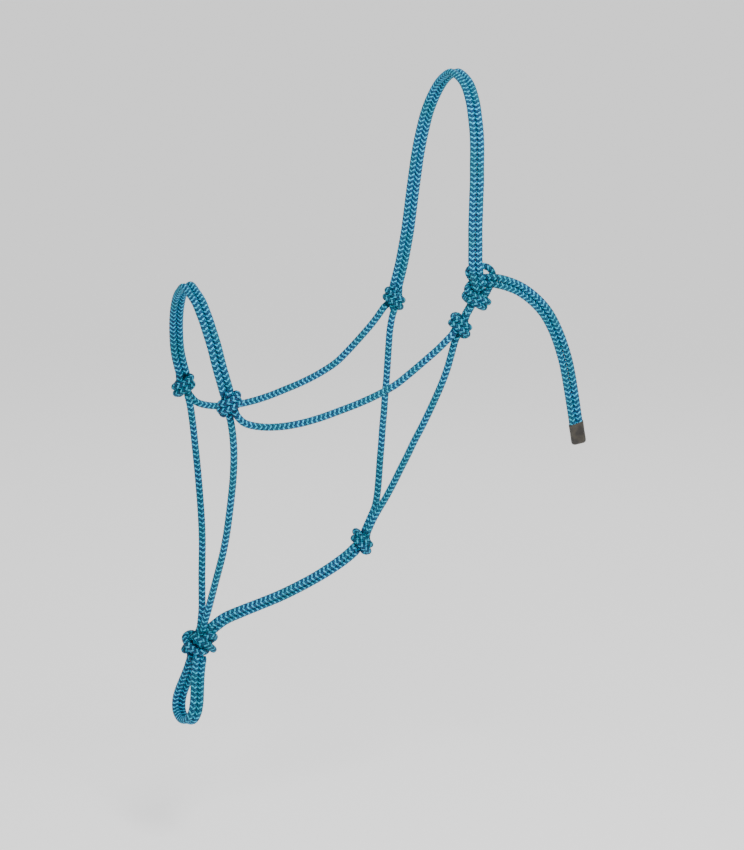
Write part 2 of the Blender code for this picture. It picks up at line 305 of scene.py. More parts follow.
def runs():
    """The centre line of every run, named as its node, cut off where it meets its knots."""
    made = {}

    def add(names, curve, direction, ends, spacing=PAIR_SPACING):
        for name, side in zip(names, (-0.5, 0.5)):
            run = beside(curve, direction, side * spacing)
            for end in ends:
                run = outside(run, *end)
            made[name] = run

    right = [*reversed(mirrored(CROWN_HALF))]
    route = [*reversed(CROWN_RIGHT_END), *right, CROWN_TOP, *CROWN_HALF, *CROWN_LEFT_END]
    curve = smooth(route)
    across = twisting(curve, (0.0, 1.0, 0.0), (1.0, 0.0, 0.0), (4, 4, 0, 18, 18))
    ends = (
        (CHEEK_KNOTS["right"], SIDE_KNOT_SIZE, True),
        (CROWN_HITCH, CROWN_HITCH_SIZE, False, 1.3),
    )
    add(("crown_front_strand", "crown_rear_strand"), curve, across, ends)

    curve = smooth(TIE_LOOP_LEG)
    ends = (
        (CHEEK_KNOTS["left"], SIDE_KNOT_SIZE, True, 0.95),
        (CROWN_HITCH, CROWN_HITCH_SIZE, False, 0.95),
    )
    add(("tie_loop_front_leg", "tie_loop_rear_leg"), curve, TIE_LOOP_SPREAD, ends)

    curve = smooth([*reversed(mirrored(NOSEBAND_HALF)), NOSEBAND_TOP, *NOSEBAND_HALF])
    ends = (
        (NOSE_KNOTS["right"], SIDE_KNOT_SIZE, True),
        (NOSE_KNOTS["left"], SIDE_KNOT_SIZE, False),
    )
    names = ("noseband_front_strand", "noseband_rear_strand")
    add(names, curve, (0.0, 0.98, 0.2), ends, NOSEBAND_SPACING)

    curve = smooth(JAW_STRAP)
    ends = ((THROAT_KNOT, THROAT_KNOT_SIZE, True), (CHIN_KNOT, CHIN_KNOT_SIZE, False, 0.95))
    across = twisting(curve, (0.0, 0.36, -0.93), (-1.0, 0.0, 0.0), (15, 30, 30, 18))
    add(("jaw_upper_strand", "jaw_lower_strand"), curve, across, ends)

    lean_y, lean_z = -math.sin(LOOP_LEAN), -math.cos(LOOP_LEAN)
    outline = [*LOOP_HALF, LOOP_BOTTOM, *((-x, down) for x, down in reversed(LOOP_HALF))]
    route = [(x, CHIN_KNOT[1] + d * lean_y, CHIN_KNOT[2] + d * lean_z) for x, d in outline]
    ends = ((CHIN_KNOT, CHIN_KNOT_SIZE, True), (CHIN_KNOT, CHIN_KNOT_SIZE, False))
    names = ("lead_loop_front_strand", "lead_loop_rear_strand")
    add(names, smooth(route, 12), (0.0, -lean_z, lean_y), ends)

    curve = smooth(TAIL)
    across = twisting(curve, (0.0, -0.4, -0.9), (-1.0, 0.0, 0.0), (0, 25, 40, 25, 8))
    ends = ((CROWN_HITCH, CROWN_HITCH_SIZE, True, 1.9),)
    add(("tail_upper_strand", "tail_lower_strand"), curve, across, ends)

    singles = {
        "left": (CHEEK_ROPE, THROAT_ROPE, CHIN_DROP),
        "right": (to_right(CHEEK_ROPE, True), to_right(THROAT_ROPE, False), mirrored(CHIN_DROP)),
    }
    for side, (cheek, throat, drop) in singles.items():
        nose = (NOSE_KNOTS[side], SIDE_KNOT_SIZE)
        back = (CHEEK_KNOTS[side], SIDE_KNOT_SIZE)
        chosen = (
            (f"cheek_rope_{side}", cheek, nose, back),
            (f"throat_rope_{side}", throat, back, (THROAT_KNOT, THROAT_KNOT_SIZE)),
            (f"chin_drop_{side}", drop, nose, (CHIN_KNOT, CHIN_KNOT_SIZE)),
        )
        for name, route, first, last in chosen:
            made[name] = outside(outside(smooth(route), *first, True), *last, False)
    return made


RUNS = runs()

# ---------------------------------------------------------------- knots, drawn tight
NODE_STEP = 1.9  # between the points of a strand while it is drawn tight
PINNED = 3  # points held still at each end of a strand
KNOT_RADIUS = 3.0
PRESSED = 5.7  # centre to centre of two cords pressed together in a knot
TENSION = 0.2  # share of the way to its neighbours' middle that a point moves in a step
SLACKENED = 0.2  # share of the tension left in the last rounds
CENTRING = 0.02  # share of the way that a knot is drawn back to its place in a step
HITCH_PRESSED = 5.9
HITCH_TENSION = 0.1
ROUNDS = {"overhand": 5, "diamond": 6, "hitch": 5}
STEPS = 20  # in a round
PUSHES = 3  # in a step
PUSH_SHARE = 0.9  # of a lone overlap that a push takes away
CROWDING = 0.35  # how much less a point is pushed for each further point that is too near
SAME_CORD = 1.6  # distances along a strand within which it doesn't push itself away


def apart(points, strand, along, distance):
    """Pushes points that lie nearer than a distance from each other apart, half way each."""
    gap = points[:, None] - points[None]
    size = np.sqrt((gap**2).sum(axis=2)) + 1e-9
    same = strand[:, None] == strand[None]
    ignored = same & (np.abs(along[:, None] - along[None]) < SAME_CORD * distance)
    short = np.where(ignored, 0.0, np.maximum(0.0, distance - size))
    push = (gap / size[:, :, None] * short[:, :, None]).sum(axis=1)
    count = np.maximum(1, (short > 0).sum(axis=1))
    return push * (PUSH_SHARE / (1 + CROWDING * (count - 1)))[:, None] * 0.5


def tightened(strands, centre, rounds, pull=TENSION, distance=PRESSED, centring=CENTRING):
    """Strands drawn tight between their pinned ends, without passing through each other.

    Each round spaces the points anew. The last two rounds mostly push apart.
    """
    for turn in range(rounds):
        middles = [resampled(s[PINNED - 1 : len(s) - PINNED + 1], NODE_STEP) for s in strands]
        strands = [
            np.vstack([s[:PINNED], middle[1:-1], s[-PINNED:]])
            for s, middle in zip(strands, middles)
        ]
        counts = [len(s) for s in strands]
        strand = np.repeat(np.arange(len(strands)), counts)
        along = np.concatenate([lengths(s) for s in strands])
        index = np.concatenate([np.arange(n) for n in counts])
        free = (index >= PINNED) & (index < np.repeat(counts, counts) - PINNED)
        points = np.vstack(strands)
        tension = pull if turn < rounds - 2 else pull * SLACKENED
        for _ in range(STEPS):
            mid = points.copy()
            mid[1:-1] = 0.5 * (points[:-2] + points[2:])
            points = points + np.where(free[:, None], (mid - points) * tension, 0.0)
            drift = np.array(centre) - points[free].mean(axis=0)
            points = points + np.where(free[:, None], drift * centring, 0.0)
            for _ in range(PUSHES):
                push = apart(points, strand, along, distance)
                points = points + np.where(free[:, None], push, 0)
        strands = np.split(points, np.cumsum(counts)[:-1])
    return strands


def pinned_end(name, at_start):
    """The last points of a run before its knot, spaced out, going into the knot."""
    run = RUNS[name] if at_start else RUNS[name][::-1]
    along = lengths(run)
    at = np.arange(PINNED) * NODE_STEP
    points = np.stack([np.interp(at, along, run[:, k]) for k in range(3)], axis=1)
    return points[::-1]


def led_through(start, body, end):
    """A strand from a pinned start through a knot's guide points to a pinned end."""
    samples = 8
    curve = smooth([*start, *body, *end], samples)
    cut = (PINNED - 1) * samples
    curve = curve[cut : len(curve) - cut]
    return np.vstack([start[:-1], resampled(curve, NODE_STEP), end[1:]])


# An overhand knot's guide points, in widths of pressed cord: across, up and towards the outside.
# The strands come down one side of the core, wrap once round it upwards and leave down its other
# side. The first row of each is the lower wrap's.
WRAP = (-150, -110, -70, -30, 10, 50, 90, 130, 165)  # degrees round the core
WRAP_RADIUS = 1.62
WRAP_SLOPE = 1.15 / 180  # climb per degree
WRAP_DROP = 0.62  # how far the lower wrap's middle is below the knot's
CORE_IN = (
    ((-0.5, 1.6, 0.45), (-0.5, 0.6, 0.5), (-0.5, -0.7, 0.45), (-0.6, -1.7, 0.0),
     (-0.85, -2.1, -0.8)),
    ((-0.5, 1.6, -0.4), (-0.5, 0.7, -0.5), (-0.5, -0.2, -0.6)),
)
CORE_OUT = (
    ((0.4, 0.75, -1.0), (0.5, 0.2, -0.55), (0.5, -0.5, -0.5), (0.5, -1.5, -0.5)),
    ((0.35, 1.7, -0.95), (0.5, 1.65, -0.15), (0.5, 0.8, 0.45), (0.5, -0.4, 0.5),
     (0.5, -1.5, 0.5)),
)


def overhand(centre, ends, down, rising):
    """Two strands tied together in one overhand knot.

    ends has, for the lower and the upper wrap, the run that comes in and the run that goes out.
    down is the way through the knot, and rising is 1 where its front wrap climbs to the right.
    """
    up = -np.array(down, float) / np.linalg.norm(down)
    front = np.array(CAMERA_BACK)
    front = front - up * (front @ up)
    front /= np.linalg.norm(front)
    axes = np.array([np.cross(up, front) * rising, up, front]) * PRESSED
    strands = []
    for which, (first, last) in enumerate(ends):
        wrap = []
        for degrees in WRAP:
            turn = math.radians(degrees)
            height = which - WRAP_DROP + degrees * WRAP_SLOPE
            wrap.append((WRAP_RADIUS * math.sin(turn), height, WRAP_RADIUS * math.cos(turn)))
        guide = np.array([*CORE_IN[which], *wrap, *CORE_OUT[which]])
        body = guide @ axes + np.array(centre)
        start, end = pinned_end(*first), pinned_end(*last)[::-1]
        strands.append(led_through(start, body, end))
    return tightened(strands, centre, ROUNDS["overhand"])


# A strand's way through the chin knot: distance from its middle line, degrees round it, height.
DIAMOND_PLAN = (
    (3.8, 0, 9), (3.8, 0, 0), (4.8, -15, -8), (11.0, -40, -12), (14.5, -75, -7),
    (15.0, -120, 0), (14.5, -165, 7), (11.0, -200, 12), (8.5, -225, 9), (8.5, -240, 0),
    (8.2, -256, -9),
)


def diamond(centre, ends):
    """Four strands from above, each led down the middle, up round the outside and down again."""
    strands = []
    for first, last, phase in ends:
        middle = []
        for radius, degrees, height in DIAMOND_PLAN:
            turn = math.radians(phase + degrees)
            middle.append((radius * math.cos(turn), radius * math.sin(turn), height))
        body = np.array(middle) + np.array(centre)
        strands.append(led_through(pinned_end(*first), body, pinned_end(*last)[::-1]))
    return tightened(strands, centre, ROUNDS["diamond"])


def hitch():
    """The sheet bend of the crown's two strands on the tie loop.

    path has the pair's middle line, and the direction from it in which the strands lie.
    """
    path = np.array((
        (77.5, -14.3, -182, 0.1, 1, 0), (79.3, -14.0, -188, 0, 1, 0),
        (78, -12.5, -194, 0, 0.9, 0.4), (71.5, -10, -199, 0.2, 0.5, 0.8),
        (66.5, -8.5, -202, 0, 0.2, 1), (69, -6, -204, 0, 0, 1),
        (75, -5, -205.5, 0, 0, 1), (81, -8, -206, 0, 0, 1), (83.5, -13, -204.5, 0, 0, 1),
        (81.5, -19, -202, 0, 0, 1), (75.5, -22, -199.5, 0, 0, 1), (69, -20.5, -196.5, 0, 0, 1),
        (64.5, -15.5, -192.5, 0, 0, 1), (67, -11.0, -188, 0, 0.2, 1), (73, -7.0, -184.5, 0, 0.3, 1),
        (78.5, -2.5, -183.8, 0, 0.3, 1), (81.3, 3.5, -184.8, 0, 0.4, 1),
    ))
    loop = (
        (71, -14.5, -200), (71.2, -14, -194), (72.3, -13.5, -189), (69.5, -14.5, -184),
        (67.5, -15.5, -180.5), (70, -21.5, -178), (70, -21.5, -174.5), (67.5, -15.5, -172.5),
        (69, -9, -171), (73, -4, -170.5), (75.5, 1, -173), (75, 4, -178.5), (74, 3.5, -185),
        (74.5, 0, -191), (76, -7, -198), (76.5, -12.5, -203.5),
    )
    across = path[:, 3:] / np.linalg.norm(path[:, 3:], axis=1)[:, None]
    strands = []
    offset = 3.2
    pairs = (("crown_front_strand", "tail_lower_strand", -offset),
             ("crown_rear_strand", "tail_upper_strand", offset))
    for crown_run, tail_run, shift in pairs:
        body = path[:, :3] + across * shift
        strands.append(
            led_through(pinned_end(crown_run, False), body, pinned_end(tail_run, True)[::-1])
        )
    start, end = pinned_end("tie_loop_front_leg", False), pinned_end("tie_loop_rear_leg", False)
    strands.append(led_through(start, loop, end[::-1]))
    return tightened(
        strands, CROWN_HITCH, ROUNDS["hitch"], HITCH_TENSION, HITCH_PRESSED, centring=0.0
    )


def knots():
    """The strands of each knot, in the order in which the cord's plan numbers them."""
    band = ("noseband_front_strand", "noseband_rear_strand")
    return {
        "nose_knot_left": overhand(
            NOSE_KNOTS["left"],
            (((band[1], False), ("chin_drop_left", True)),
             ((band[0], False), ("cheek_rope_left", True))),
            (0, 0.15, -1), 1,
        ),
        "nose_knot_right": overhand(
            NOSE_KNOTS["right"],
            (((band[0], True), ("cheek_rope_right", True)),
             ((band[1], True), ("chin_drop_right", True))),
            (0, 0.15, -1), 1,
        ),
        "cheek_knot_right": overhand(
            CHEEK_KNOTS["right"],
            ((("crown_front_strand", True), ("cheek_rope_right", False)),
             (("crown_rear_strand", True), ("throat_rope_right", True))),
            (0, -0.25, -1), -1,
        ),
        "cheek_knot_left": overhand(
            CHEEK_KNOTS["left"],
            ((("tie_loop_rear_leg", True), ("throat_rope_left", True)),
             (("tie_loop_front_leg", True), ("cheek_rope_left", False))),
            (0, -0.35, -1), -1,
        ),
        "throat_knot": overhand(
            THROAT_KNOT,
            ((("throat_rope_left", False), ("jaw_lower_strand", True)),
             (("throat_rope_right", False), ("jaw_upper_strand", True))),
            (0, -0.5, -1), -1,
        ),
        "chin_knot": diamond(
            CHIN_KNOT,
            ((("chin_drop_left", False), ("lead_loop_front_strand", False), -45),
             (("jaw_upper_strand", False), ("lead_loop_front_strand", True), 45),
             (("jaw_lower_strand", False), ("lead_loop_rear_strand", True), 135),
             (("chin_drop_right", False), ("lead_loop_rear_strand", False), 225)),
        ),
        "crown_hitch": hitch(),
    }


KNOTS = knots()

# ---------------------------------------------------------------- the cord, end to end
CARRIERS = 6  # yarns that wind each way in the braid
PITCH = 2.3  # from one yarn to the next along the cord
RINGS_PER_PITCH = 6
SIDES = 30
RING_STEP = PITCH / RINGS_PER_PITCH
YARN_RELIEF = 0.42
MEAN_HEIGHT = 0.32  # the braid's height, 0 to 1, that lies at the cord's own radius
FACING_RINGS = 31  # over which the braid's turn is evened out, either way
LEVEL = 0.15  # slope under which a run counts as partly level, so that neither way is down
HEIGHT_AT_CROSSING = 0.45  # of a yarn's height, where it dives under the next
SLEEVE_OVERLAP = 4.0  # how far the strands run on inside the sleeve
KNOT_OVERLAP = 12  # rings that a strand runs on inside a knot it turns against
OVERLAP_SHRINK = 0.965  # how much thinner it is there
KNOT_EASE = 9.0  # how far into a knot the cord takes on its pressed radius
KNOT_SAMPLES = 6

# The cord's way through the halter: the node, which strand of it (None for a run) and whether it
# is followed backwards.
CORD = (
    ("tail_lower_strand", None, True),
    ("crown_hitch", 0, True),
    ("crown_front_strand", None, True),
    ("cheek_knot_right", 0, False),
    ("cheek_rope_right", None, True),
    ("nose_knot_right", 0, True),
    ("noseband_front_strand", None, False),
    ("nose_knot_left", 1, False),
    ("cheek_rope_left", None, False),
    ("cheek_knot_left", 1, True),
    ("tie_loop_front_leg", None, False),
    ("crown_hitch", 2, False),
    ("tie_loop_rear_leg", None, True),
    ("cheek_knot_left", 0, False),
    ("throat_rope_left", None, False),
    ("throat_knot", 0, False),
    ("jaw_lower_strand", None, False),
    ("chin_knot", 2, False),
    ("lead_loop_rear_strand", None, False),
    ("chin_knot", 3, True),
    ("chin_drop_right", None, True),
    ("nose_knot_right", 1, True),
    ("noseband_rear_strand", None, False),
    ("nose_knot_left", 0, False),
    ("chin_drop_left", None, False),
    ("chin_knot", 0, False),
    ("lead_loop_front_strand", None, True),
    ("chin_knot", 1, True),
    ("jaw_upper_strand", None, True),
    ("throat_knot", 1, True),
    ("throat_rope_right", None, True),
    ("cheek_knot_right", 1, True),
    ("crown_rear_strand", None, False),
    ("crown_hitch", 1, False),
    ("tail_upper_strand", None, False),
)


def cord_pieces():
    """The cord's stretches in order, each with its rings' indices, on one evenly stepped line."""
    line, radius, stretches = [], [], []
    count = 0
    for name, which, backwards in CORD:
        if which is None:
            curve = RUNS[name]
            if name.startswith("tail"):
                onward = tangents(curve)[-1] * SLEEVE_OVERLAP
                curve = np.vstack([curve, curve[-1] + onward])
        else:
            strand = KNOTS[name][which]
            cut = (PINNED - 1) * KNOT_SAMPLES
            curve = softened(smooth(strand, KNOT_SAMPLES)[cut:-cut], 8)
        if backwards:
            curve = curve[::-1]
        along = lengths(curve)
        steps = max(2, round(along[-1] / RING_STEP))
        at = np.linspace(0, along[-1], steps + 1)
        points = np.stack([np.interp(at, along, curve[:, k]) for k in range(3)], axis=1)
        if which is None:
            thick = np.full(steps + 1, CORD_RADIUS)
        else:
            into = np.minimum(at, along[-1] - at) / KNOT_EASE
            blend = np.clip(into, 0, 1)
            blend = blend * blend * (3 - 2 * blend)
            thick = CORD_RADIUS + (KNOT_RADIUS - CORD_RADIUS) * blend
        line.append(points[:-1])
        radius.append(thick[:-1])
        stretches.append((name, which, count, count + steps))
        count += steps
    line.append(points[-1:])
    radius.append(thick[-1:])
    return np.vstack(line), np.concatenate(radius), stretches


def softened(curve, width):
    """The curve with its kinks smoothed away, and its ends kept."""
    kernel = np.hanning(2 * width + 3)[1:-1]
    kernel /= kernel.sum()
    first = 2 * curve[0] - curve[width:0:-1]
    last = 2 * curve[-1] - curve[-2 : -width - 2 : -1]
    long = np.vstack([first, curve, last])
    return np.stack([np.convolve(long[:, k], kernel, "valid") for k in range(3)], axis=1)


def carried(line):
    """Directions square to the line that turn with it and never twist about it."""
    along = tangents(line)
    across = np.zeros_like(line)
    across[0] = square_to((0.0, 1.0, 0.0), along[:1])[0]
    for i in range(1, len(line)):
        turned = across[i - 1] - along[i] * (across[i - 1] @ along[i])
        across[i] = turned / math.sqrt(turned @ turned)
    return along, across


def facing():
    """How far to turn the braid round the cord at each ring, in yarns, to point its chevrons down.

    It is set along the runs, and eases from one to the next inside the knots.
    """
    towards = np.array(CAMERA_PLACE) / MM - LINE
    angle = np.arctan2((towards * TURNED).sum(axis=1), (towards * ACROSS).sum(axis=1))
    up = np.cross(CAMERA_BACK, CAMERA_RIGHT)
    falling = np.clip(-(ALONG @ up) / LEVEL, -1, 1)
    # Seen at 0.25 yarns round the cord the chevrons point along it, and at 1.25 yarns back.
    wanted = CARRIERS * angle / (2 * math.pi) - (0.75 - 0.5 * falling)
    outer = np.zeros(len(LINE), bool)
    for name, which, first, last in STRETCHES:
        outer[first:last] = which is None
    rings = np.arange(len(LINE))
    turned = np.interp(rings, rings[outer], np.unwrap(wanted[outer], period=2))
    kernel = np.hanning(2 * FACING_RINGS + 1)
    kernel = kernel[1:-1] / kernel.sum()
    return np.convolve(np.pad(turned, FACING_RINGS - 1, "edge"), kernel, "valid")


def braid_height(across, along):
    """How high the braid's surface stands, 0 to 1, at places given in yarns round and along.

    Each yarn goes over two, highest in the middle, and under two. cord_look draws the same plait.
    """
    a, b = across + along, across - along
    fa, fb = a - np.floor(a), b - np.floor(b)
    phase = np.mod(np.floor(a) + np.floor(b), 4)
    right = phase < 2
    cross = np.where(right, fa, fb)
    run = np.where(right, (phase + fb) / 2, (phase - 2 + fa) / 2)
    bulge = 1 - (2 * cross - 1) ** 2
    arch = np.sin(math.pi * run)
    return bulge**0.5 * (HEIGHT_AT_CROSSING + (1 - HEIGHT_AT_CROSSING) * arch)


LINE, RADIUS, STRETCHES = cord_pieces()
ALONG, ACROSS = carried(LINE)
TURNED = np.cross(ALONG, ACROSS)
BRAID_TURN = 2 * math.pi / CARRIERS * facing()[:, None]
ACROSS = ACROSS * np.cos(BRAID_TURN) + TURNED * np.sin(BRAID_TURN)
TURNED = np.cross(ALONG, ACROSS)


def tube_arrays(first, last, before=0, after=0):
    """Points, faces and texture places of the cord from one ring to another, closed at both ends.

    It runs on a little thinner for some rings before and after, inside a knot.
    """
    rings = np.arange(first - before, last + after + 1)
    shrink = np.where((rings < first) | (rings > last), OVERLAP_SHRINK, 1.0)[:, None]
    turn = 2 * math.pi * np.arange(SIDES) / SIDES
    yarns = CARRIERS * np.arange(SIDES) / SIDES
    height = braid_height(yarns[None], (rings / RINGS_PER_PITCH)[:, None])
    reach = (RADIUS[rings, None] + (height - MEAN_HEIGHT) * YARN_RELIEF) * shrink
    points = (
        LINE[rings, None]
        + ACROSS[rings, None] * (reach * np.cos(turn))[:, :, None]
        + TURNED[rings, None] * (reach * np.sin(turn))[:, :, None]
    ).reshape(-1, 3)
    n = len(rings)
    k, i = np.meshgrid(np.arange(SIDES), np.arange(n - 1))
    beyond = (k + 1) % SIDES
    quads = np.stack(
        [i * SIDES + k, i * SIDES + beyond, (i + 1) * SIDES + beyond, (i + 1) * SIDES + k], axis=2
    ).reshape(-1, 4)
    low, high = (rings[0] + i) / RINGS_PER_PITCH, (rings[0] + i + 1) / RINGS_PER_PITCH
    left, right = k * CARRIERS / SIDES, (k + 1) * CARRIERS / SIDES
    places = np.stack(
        [np.stack([low, left], 2), np.stack([low, right], 2), np.stack([high, right], 2),
         np.stack([high, left], 2)], axis=2
    ).reshape(-1, 2)
    return points, quads, places


def cord_mesh(name, tubes, look):
    """One mesh of several lengths of cord, each given as the arguments of tube_arrays."""
    all_points, loops, sizes, uvs = [], [], [], []
    base = 0
    for tube in tubes:
        points, quads, places = tube_arrays(*tube)
        rings = len(points) // SIDES
        loops.append((quads + base).reshape(-1))
        sizes.append(np.full(len(quads), 4))
        uvs.append(places)
        caps = (np.arange(SIDES)[::-1], np.arange(SIDES) + (rings - 1) * SIDES)
        for cap in caps:
            loops.append(cap + base)
            sizes.append(np.array([SIDES]))
            uvs.append(np.tile(places[:1], (SIDES, 1)))
        all_points.append(points)
        base += len(points)
    points, loops, sizes = np.vstack(all_points) * MM, np.concatenate(loops), np.concatenate(sizes)
    starts = np.concatenate([[0], np.cumsum(sizes)[:-1]])
    mesh = bpy.data.meshes.new(name)
    mesh.vertices.add(len(points))
    mesh.vertices.foreach_set("co", points.astype(np.float32).ravel())
    mesh.loops.add(len(loops))
    mesh.loops.foreach_set("vertex_index", loops.astype(np.int32))
    mesh.polygons.add(len(sizes))
    mesh.polygons.foreach_set("loop_start", starts.astype(np.int32))
    layer = mesh.uv_layers.new(name="braid")
    layer.data.foreach_set("uv", np.vstack(uvs).astype(np.float32).ravel())
    mesh.update(calc_edges=True)
    mesh.validate()
    mesh.shade_smooth()
    mesh.materials.append(look)
    return placed(name, mesh)


def placed(name, data):
    """A new object of a mesh or a lamp, put in the scene."""
    thing = bpy.data.objects.new(name, data)
    bpy.context.scene.collection.objects.link(thing)
    return thing


# ---------------------------------------------------------------- materials
def linear(red, green, blue):
    """A colour given as it looks on a screen, 0 to 255, in linear light."""
    return tuple(
        (c / 255 / 12.92) if c / 255 <= 0.04045 else ((c / 255 + 0.055) / 1.055) ** 2.4
        for c in (red, green, blue)
    )


class Nodes:
    """A small helper that wires shader nodes by name."""

    def __init__(self, name):
        self.material = bpy.data.materials.new(name)
        self.material.use_nodes = True
        self.tree = self.material.node_tree
        self.shader = self.tree.nodes["Principled BSDF"]

    def link(self, value, socket):
        if isinstance(value, bpy.types.NodeSocket):
            self.tree.links.new(value, socket)
        elif value is not None:
            socket.default_value = value

    def math(self, operation, first, second=None, third=None):
        node = self.tree.nodes.new("ShaderNodeMath")
        node.operation = operation
        for value, socket in zip((first, second, third), node.inputs):
            self.link(value, socket)
        return node.outputs[0]

    def mix(self, share, first, second, kind="RGBA"):
        node = self.tree.nodes.new("ShaderNodeMix")
        node.data_type = kind
        pick = {"FLOAT": (2, 3, 0), "RGBA": (6, 7, 2)}[kind]  # two inputs and the output
        self.link(share, node.inputs[0])
        for value, index in zip((first, second), pick):
            if isinstance(value, tuple):
                value = (*value, 1.0)
            self.link(value, node.inputs[index])
        return node.outputs[pick[2]]

    def noise(self, vector, scale, detail=2.0):
        node = self.tree.nodes.new("ShaderNodeTexNoise")
        node.inputs["Scale"].default_value = scale
        node.inputs["Detail"].default_value = detail
        self.link(vector, node.inputs["Vector"])
        return node.outputs[0]

    def spread(self, value, low, high, to_low, to_high):
        node = self.tree.nodes.new("ShaderNodeMapRange")
        self.link(value, node.inputs[0])
        for number, socket in zip((low, high, to_low, to_high), list(node.inputs)[1:5]):
            socket.default_value = number
        return node.outputs[0]

    def place(self):
        return self.tree.nodes.new("ShaderNodeTexCoord").outputs["Object"]

    def bump(self, height, strength, distance):
        node = self.tree.nodes.new("ShaderNodeBump")
        node.inputs["Strength"].default_value = strength
        node.inputs["Distance"].default_value = distance
        self.link(height, node.inputs["Height"])
        self.link(node.outputs[0], self.shader.inputs["Normal"])


LIGHT_YARN = linear(26, 168, 214)
GREEN_YARN = linear(14, 154, 182)
DARK_YARN = linear(2, 58, 88)
NAVY_YARN = linear(3, 32, 84)
# painted shade for the gaps between the yarns
PAINTED_CREVICE_SHADE = linear(2, 16, 34)
# a painted highlight on the plies and fibres
PAINTED_PLY_HIGHLIGHT = linear(90, 200, 235)


def cord_look(name, shade):
    """Braided polyester cord: yarns over and under each other, light and dark in turn.

    shade scales the colour: the knots' copy gets less, painted shade that makes them darker than
    the runs.
    """
    n = Nodes(name)
    uv = n.tree.nodes.new("ShaderNodeUVMap")
    uv.uv_map = "braid"
    split = n.tree.nodes.new("ShaderNodeSeparateXYZ")
    n.link(uv.outputs[0], split.inputs[0])
    along, across = split.outputs[0], split.outputs[1]
    a = n.math("ADD", across, along)
    b = n.math("SUBTRACT", across, along)
    ia, ib = n.math("FLOOR", a), n.math("FLOOR", b)
    fa, fb = n.math("FRACT", a), n.math("FRACT", b)
    phase = n.math("FLOORED_MODULO", n.math("ADD", ia, ib), 4.0)
    right = n.math("LESS_THAN", phase, 2.0)
    cross = n.mix(right, fb, fa, "FLOAT")
    yarn = n.mix(right, ib, ia, "FLOAT")
    start = n.mix(right, n.math("SUBTRACT", phase, 2.0), phase, "FLOAT")
    run = n.math("MULTIPLY", n.math("ADD", start, n.mix(right, fa, fb, "FLOAT")), 0.5)
    centred = n.math("ABSOLUTE", n.math("SUBTRACT", n.math("MULTIPLY", cross, 2.0), 1.0))
    edge = n.math("SUBTRACT", 1.0, n.math("POWER", centred, 2.5))
    arch = n.math("SINE", n.math("MULTIPLY", run, math.pi))
    height = n.math("MULTIPLY", edge, n.math("MULTIPLY_ADD", arch, 0.66, 0.34))

    dark = n.math("FLOORED_MODULO", yarn, 2.0)
    place = n.place()
    drift = n.noise(place, 42.0)  # slow changes of hue along the cord
    speckle = n.noise(place, 900.0, 3.0)  # single fibres
    light_colour = n.mix(n.spread(drift, 0.42, 0.6, 0, 1), LIGHT_YARN, GREEN_YARN)
    dark_colour = n.mix(n.spread(drift, 0.38, 0.62, 0, 1), NAVY_YARN, DARK_YARN)
    colour = n.mix(dark, light_colour, dark_colour)

    # The plies inside a yarn show as fine slanting lines, and single fibres as specks. Along them a
    # paler, whiter blue is mixed in: a painted highlight on the real ply texture.
    plies = n.math("MULTIPLY_ADD", cross, 5.0, n.math("MULTIPLY", run, 3.0))
    plies = n.math("SINE", n.math("MULTIPLY", plies, 2 * math.pi))
    fibre_and_highlight_mask = n.math("MULTIPLY_ADD", plies, 0.5, n.math("MULTIPLY", speckle, 1.2))
    colour = n.mix(n.spread(fibre_and_highlight_mask, -0.3, 1.5, 0.0, 0.14), colour, PAINTED_PLY_HIGHLIGHT)

    # Each yarn has its own brightness, at random. By the braid's height, the gaps between the yarns
    # get painted shade and the yarns' tops a painted highlight.
    own = n.tree.nodes.new("ShaderNodeTexWhiteNoise")
    own.noise_dimensions = "2D"
    pair = n.tree.nodes.new("ShaderNodeCombineXYZ")
    n.link(n.math("FLOORED_MODULO", yarn, float(CARRIERS)), pair.inputs[0])
    n.link(right, pair.inputs[1])
    n.link(pair.outputs[0], own.inputs["Vector"])
    value = n.spread(own.outputs[0], 0.0, 1.0, 0.82, 1.1)
    # painted shade and highlight: darker where the braid lies low, lighter on the yarns' tops
    yarn_tone_and_painted_light = n.math("MULTIPLY", value, n.spread(height, 0.0, 0.8, 0.1, 1.22))
    # painted shade for the knots, when shade is below 1
    yarn_tone_and_painted_light = n.math("MULTIPLY", yarn_tone_and_painted_light, shade)
    # painted shade: the low gaps between the yarns are mixed towards a near black blue
    colour = n.mix(n.spread(height, 0.0, 0.45, 0.85, 0.0), colour, PAINTED_CREVICE_SHADE)
    scaled = n.tree.nodes.new("ShaderNodeVectorMath")
    scaled.operation = "SCALE"
    n.link(colour, scaled.inputs[0])
    n.link(yarn_tone_and_painted_light, scaled.inputs["Scale"])
    n.link(scaled.outputs[0], n.shader.inputs["Base Color"])
    n.link(n.spread(fibre_and_highlight_mask, -0.4, 1.6, 0.66, 0.5), n.shader.inputs["Roughness"])

    n.bump(n.math("MULTIPLY_ADD", fibre_and_highlight_mask, 0.12, height), 0.55, 0.0003)
    n.shader.inputs["Specular IOR Level"].default_value = 0.14
    n.shader.inputs["Sheen Weight"].default_value = 0.03
    n.shader.inputs["Sheen Roughness"].default_value = 0.45
    n.shader.inputs["Sheen Tint"].default_value = (0.55, 0.85, 1.0, 1.0)
    return n.material


CORD_LOOK = cord_look("braided_cord", 1.0)
# the knots: the same cord, with painted shade that makes it 0.78 as light
SHADED_KNOT_LOOK = cord_look("knotted_cord", 0.78)

KNOT_NODES = {name for name, which, *rings in STRETCHES if which is not None}
